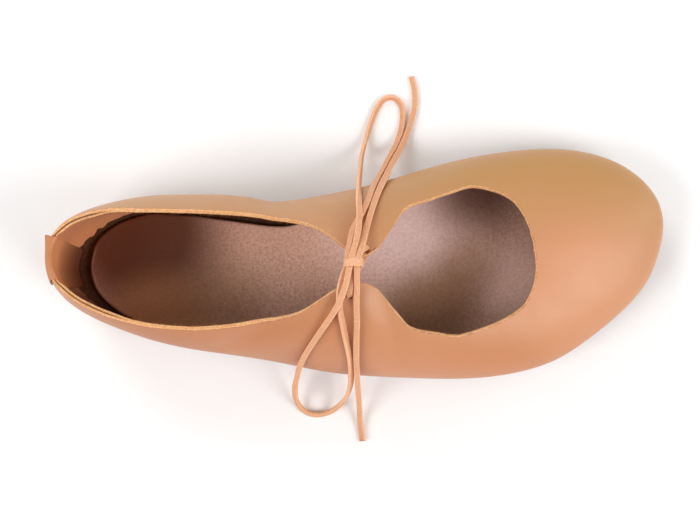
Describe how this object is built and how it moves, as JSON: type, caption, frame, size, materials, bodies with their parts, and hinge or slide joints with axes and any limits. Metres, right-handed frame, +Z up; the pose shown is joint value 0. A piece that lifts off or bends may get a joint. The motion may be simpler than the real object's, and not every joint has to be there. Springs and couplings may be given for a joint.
{
  "type": "ballet flat",
  "caption": "Soft leather ballet flat with a wide rounded toe, an open cut-out before the instep tabs, a thin leather tie in a bow and a thin flexible rubber sole; right shoe.",
  "frame": {"origin": "on the floor under the middle of the shoe's box, lace loops and ends not counted", "axes": "+X from heel to toe, +Y to the medial (inner) side, +Z up"},
  "size_m": [0.2518, 0.1548, 0.065],
  "materials": {
    "outsole_rubber": "matt dark rubber with a fine wave grid tread",
    "upper_leather": "smooth tan leather, satin, raw cut edges",
    "insole_leather": "matt brown grained foot bed",
    "strip_leather": "tan leather, satin",
    "lace_leather": "cut leather thong, matt edges"
  },
  "bodies": {
    "root": {"outsole": "outsole_rubber", "upper": "upper_leather", "insole": "insole_leather", "heel_strip": "strip_leather", "lace_bar": "lace_leather", "lace_knot": "lace_leather", "lace_loop_medial": "lace_leather", "lace_loop_lateral": "lace_leather", "lace_end_medial": "lace_leather", "lace_end_lateral": "lace_leather"}
  },
  "joints": []
}
